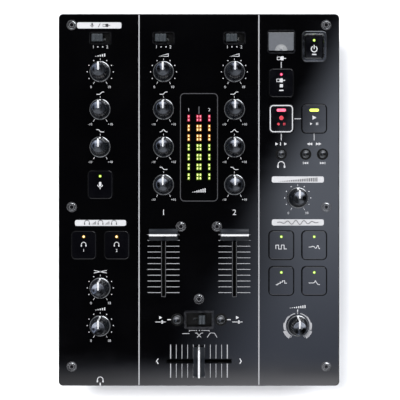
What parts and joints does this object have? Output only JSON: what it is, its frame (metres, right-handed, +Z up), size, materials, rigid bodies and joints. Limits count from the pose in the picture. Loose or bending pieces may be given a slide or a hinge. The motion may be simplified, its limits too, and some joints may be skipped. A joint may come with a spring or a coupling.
{
  "type": "dj mixer",
  "caption": "Compact tabletop DJ mixer: flat glossy panel of knobs, push buttons, slide switches, two channel faders, a crossfader and a level meter, with sockets at the rear.",
  "frame": {"origin": "on the table under the middle of the overall box, in the plane of the feet's undersides", "axes": "+Z up out of the control panel, +Y towards the rear sockets, +X to the right of someone using it"},
  "size_m": [0.218, 0.3, 0.1065],
  "materials": {
    "panel": "gloss black",
    "case": "fine textured black",
    "rubber": "matte",
    "screw": "satin",
    "board": "satin",
    "supply": "mixed",
    "pot": "plated",
    "bracket": "plated",
    "trim": "satin black",
    "lamp": "translucent",
    "socket_metal": "plated",
    "lid": "matte grey",
    "phono": "plated",
    "button": "satin black",
    "round_button": "plated plastic",
    "knob": "satin black with a white pointer",
    "lever": "matte",
    "cap": "matte with a white line"
  },
  "bodies": {
    "desk": {"top_panel": "panel", "lower_case": "case", "rear_panel": "case", "feet": "rubber", "screws": "screw", "control_board": "board", "jack_board": "board", "power_supply": "supply", "rotary_pots": "pot", "fader_bodies": "pot", "fader_bracket": "bracket", "tact_switches": "trim", "slide_switch_bodies": "trim", "meter_leds": "lamp", "panel_bezels": "trim", "usb_port": "trim", "rca_jacks": "phono", "xlr_sockets": "trim", "phone_jacks": "trim", "ac_inlet": "trim", "ground_terminal": "socket_metal"},
    "mic_level_knob_body": {"mic_level_knob": "knob"},
    "mic_high_knob_body": {"mic_high_knob": "knob"},
    "mic_low_knob_body": {"mic_low_knob": "knob"},
    "phones_mix_knob_body": {"phones_mix_knob": "knob"},
    "phones_level_knob_body": {"phones_level_knob": "knob"},
    "master_level_knob_body": {"master_level_knob": "knob"},
    "effect_depth_knob_body": {"effect_depth_knob": "knob"},
    "ch1_trim_knob_body": {"ch1_trim_knob": "knob"},
    "ch1_high_knob_body": {"ch1_high_knob": "knob"},
    "ch1_mid_knob_body": {"ch1_mid_knob": "knob"},
    "ch1_low_knob_body": {"ch1_low_knob": "knob"},
    "ch2_trim_knob_body": {"ch2_trim_knob": "knob"},
    "ch2_high_knob_body": {"ch2_high_knob": "knob"},
    "ch2_mid_knob_body": {"ch2_mid_knob": "knob"},
    "ch2_low_knob_body": {"ch2_low_knob": "knob"},
    "mic_on_button_body": {"mic_on_button": "button"},
    "ch1_cue_button_body": {"ch1_cue_button": "button"},
    "ch2_cue_button_body": {"ch2_cue_button": "button"},
    "usb_stop_button_body": {"usb_stop_button": "button"},
    "effect_1_button_body": {"effect_1_button": "button"},
    "effect_2_button_body": {"effect_2_button": "button"},
    "effect_3_button_body": {"effect_3_button": "button"},
    "effect_4_button_body": {"effect_4_button": "button"},
    "record_button_body": {"record_button": "button"},
    "play_button_body": {"play_button": "button"},
    "track_mark_button_body": {"track_mark_button": "round_button"},
    "search_back_button_body": {"search_back_button": "round_button"},
    "search_forward_button_body": {"search_forward_button": "round_button"},
    "fader_start_1_button_body": {"fader_start_1_button": "round_button"},
    "fader_start_2_button_body": {"fader_start_2_button": "round_button"},
    "mic_input_switch_body": {"mic_input_switch": "lever"},
    "ch1_input_switch_body": {"ch1_input_switch": "lever"},
    "ch2_input_switch_body": {"ch2_input_switch": "lever"},
    "curve_switch_body": {"curve_switch": "lever"},
    "power_button_body": {"power_button": "button"},
    "usb_lid_body": {"usb_lid": "lid"},
    "ch1_fader_body": {"ch1_fader": "cap"},
    "ch2_fader_body": {"ch2_fader": "cap"},
    "crossfader_body": {"crossfader": "cap"}
  },
  "joints": [
    {"name": "mic_level_turn", "type": "hinge", "parent": "desk", "child": "mic_level_knob_body", "pos_m": [-0.0766, 0.09445, 0.091], "axis": [0, 0, -1], "range_deg": [-150, 150]},
    {"name": "mic_high_turn", "type": "hinge", "parent": "desk", "child": "mic_high_knob_body", "pos_m": [-0.0766, 0.06525, 0.091], "axis": [0, 0, -1], "range_deg": [-150, 150]},
    {"name": "mic_low_turn", "type": "hinge", "parent": "desk", "child": "mic_low_knob_body", "pos_m": [-0.0766, 0.03605, 0.091], "axis": [0, 0, -1], "range_deg": [-150, 150]},
    {"name": "phones_mix_turn", "type": "hinge", "parent": "desk", "child": "phones_mix_knob_body", "pos_m": [-0.0766, -0.07325, 0.091], "axis": [0, 0, -1], "range_deg": [-150, 150]},
    {"name": "phones_level_turn", "type": "hinge", "parent": "desk", "child": "phones_level_knob_body", "pos_m": [-0.0766, -0.10245, 0.091], "axis": [0, 0, -1], "range_deg": [-150, 150]},
    {"name": "master_level_turn", "type": "hinge", "parent": "desk", "child": "master_level_knob_body", "pos_m": [0.0766, -0.00335, 0.091], "axis": [0, 0, -1], "range_deg": [-150, 150]},
    {"name": "effect_depth_turn", "type": "hinge", "parent": "desk", "child": "effect_depth_knob_body", "pos_m": [0.0766, -0.10245, 0.091], "axis": [0, 0, -1], "range_deg": [-150, 150]},
    {"name": "ch1_trim_turn", "type": "hinge", "parent": "desk", "child": "ch1_trim_knob_body", "pos_m": [-0.0275, 0.09445, 0.091], "axis": [0, 0, -1], "range_deg": [-150, 150]},
    {"name": "ch1_high_turn", "type": "hinge", "parent": "desk", "child": "ch1_high_knob_body", "pos_m": [-0.0275, 0.06525, 0.091], "axis": [0, 0, -1], "range_deg": [-150, 150]},
    {"name": "ch1_mid_turn", "type": "hinge", "parent": "desk", "child": "ch1_mid_knob_body", "pos_m": [-0.0275, 0.03605, 0.091], "axis": [0, 0, -1], "range_deg": [-150, 150]},
    {"name": "ch1_low_turn", "type": "hinge", "parent": "desk", "child": "ch1_low_knob_body", "pos_m": [-0.0275, 0.00685, 0.091], "axis": [0, 0, -1], "range_deg": [-150, 150]},
    {"name": "ch2_trim_turn", "type": "hinge", "parent": "desk", "child": "ch2_trim_knob_body", "pos_m": [0.0275, 0.09445, 0.091], "axis": [0, 0, -1], "range_deg": [-150, 150]},
    {"name": "ch2_high_turn", "type": "hinge", "parent": "desk", "child": "ch2_high_knob_body", "pos_m": [0.0275, 0.06525, 0.091], "axis": [0, 0, -1], "range_deg": [-150, 150]},
    {"name": "ch2_mid_turn", "type": "hinge", "parent": "desk", "child": "ch2_mid_knob_body", "pos_m": [0.0275, 0.03605, 0.091], "axis": [0, 0, -1], "range_deg": [-150, 150]},
    {"name": "ch2_low_turn", "type": "hinge", "parent": "desk", "child": "ch2_low_knob_body", "pos_m": [0.0275, 0.00685, 0.091], "axis": [0, 0, -1], "range_deg": [-150, 150]},
    {"name": "mic_on_press", "type": "slide", "parent": "desk", "child": "mic_on_button_body", "axis": [0, 0, -1], "range_m": [0, 0.0008], "stiffness_N_per_m": 300, "springref_m": -0.001},
    {"name": "ch1_cue_press", "type": "slide", "parent": "desk", "child": "ch1_cue_button_body", "axis": [0, 0, -1], "range_m": [0, 0.0008], "stiffness_N_per_m": 300, "springref_m": -0.001},
    {"name": "ch2_cue_press", "type": "slide", "parent": "desk", "child": "ch2_cue_button_body", "axis": [0, 0, -1], "range_m": [0, 0.0008], "stiffness_N_per_m": 300, "springref_m": -0.001},
    {"name": "usb_stop_press", "type": "slide", "parent": "desk", "child": "usb_stop_button_body", "axis": [0, 0, -1], "range_m": [0, 0.0008], "stiffness_N_per_m": 300, "springref_m": -0.001},
    {"name": "effect_1_press", "type": "slide", "parent": "desk", "child": "effect_1_button_body", "axis": [0, 0, -1], "range_m": [0, 0.0008], "stiffness_N_per_m": 300, "springref_m": -0.001},
    {"name": "effect_2_press", "type": "slide", "parent": "desk", "child": "effect_2_button_body", "axis": [0, 0, -1], "range_m": [0, 0.0008], "stiffness_N_per_m": 300, "springref_m": -0.001},
    {"name": "effect_3_press", "type": "slide", "parent": "desk", "child": "effect_3_button_body", "axis": [0, 0, -1], "range_m": [0, 0.0008], "stiffness_N_per_m": 300, "springref_m": -0.001},
    {"name": "effect_4_press", "type": "slide", "parent": "desk", "child": "effect_4_button_body", "axis": [0, 0, -1], "range_m": [0, 0.0008], "stiffness_N_per_m": 300, "springref_m": -0.001},
    {"name": "record_press", "type": "slide", "parent": "desk", "child": "record_button_body", "axis": [0, 0, -1], "range_m": [0, 0.0008], "stiffness_N_per_m": 300, "springref_m": -0.001},
    {"name": "play_press", "type": "slide", "parent": "desk", "child": "play_button_body", "axis": [0, 0, -1], "range_m": [0, 0.0008], "stiffness_N_per_m": 300, "springref_m": -0.001},
    {"name": "track_mark_press", "type": "slide", "parent": "desk", "child": "track_mark_button_body", "axis": [0, 0, -1], "range_m": [0, 0.0008], "stiffness_N_per_m": 300, "springref_m": -0.001},
    {"name": "search_back_press", "type": "slide", "parent": "desk", "child": "search_back_button_body", "axis": [0, 0, -1], "range_m": [0, 0.0008], "stiffness_N_per_m": 300, "springref_m": -0.001},
    {"name": "search_forward_press", "type": "slide", "parent": "desk", "child": "search_forward_button_body", "axis": [0, 0, -1], "range_m": [0, 0.0008], "stiffness_N_per_m": 300, "springref_m": -0.001},
    {"name": "fader_start_1_press", "type": "slide", "parent": "desk", "child": "fader_start_1_button_body", "axis": [0, 0, -1], "range_m": [0, 0.0008], "stiffness_N_per_m": 300, "springref_m": -0.001},
    {"name": "fader_start_2_press", "type": "slide", "parent": "desk", "child": "fader_start_2_button_body", "axis": [0, 0, -1], "range_m": [0, 0.0008], "stiffness_N_per_m": 300, "springref_m": -0.001},
    {"name": "power_press", "type": "slide", "parent": "desk", "child": "power_button_body", "axis": [0, 0, -1], "range_m": [0, 0.0008], "stiffness_N_per_m": 300, "springref_m": -0.001},
    {"name": "mic_input_switch_slide", "type": "slide", "parent": "desk", "child": "mic_input_switch_body", "axis": [1, 0, 0], "range_m": [0, 0.0045]},
    {"name": "ch1_input_switch_slide", "type": "slide", "parent": "desk", "child": "ch1_input_switch_body", "axis": [1, 0, 0], "range_m": [0, 0.0045]},
    {"name": "ch2_input_switch_slide", "type": "slide", "parent": "desk", "child": "ch2_input_switch_body", "axis": [1, 0, 0], "range_m": [0, 0.0045]},
    {"name": "curve_switch_slide", "type": "slide", "parent": "desk", "child": "curve_switch_body", "axis": [1, 0, 0], "range_m": [-0.0045, 0]},
    {"name": "ch1_fader_slide", "type": "slide", "parent": "desk", "child": "ch1_fader_body", "axis": [0, 1, 0], "range_m": [-0.045, 0]},
    {"name": "ch2_fader_slide", "type": "slide", "parent": "desk", "child": "ch2_fader_body", "axis": [0, 1, 0], "range_m": [-0.045, 0]},
    {"name": "crossfader_slide", "type": "slide", "parent": "desk", "child": "crossfader_body", "axis": [1, 0, 0], "range_m": [-0.022, 0.022]},
    {"name": "usb_lid_hinge", "type": "hinge", "parent": "desk", "child": "usb_lid_body", "pos_m": [0.06385, 0.1245, 0.0899], "axis": [-1, 0, 0], "range_deg": [0, 100]}
  ]
}
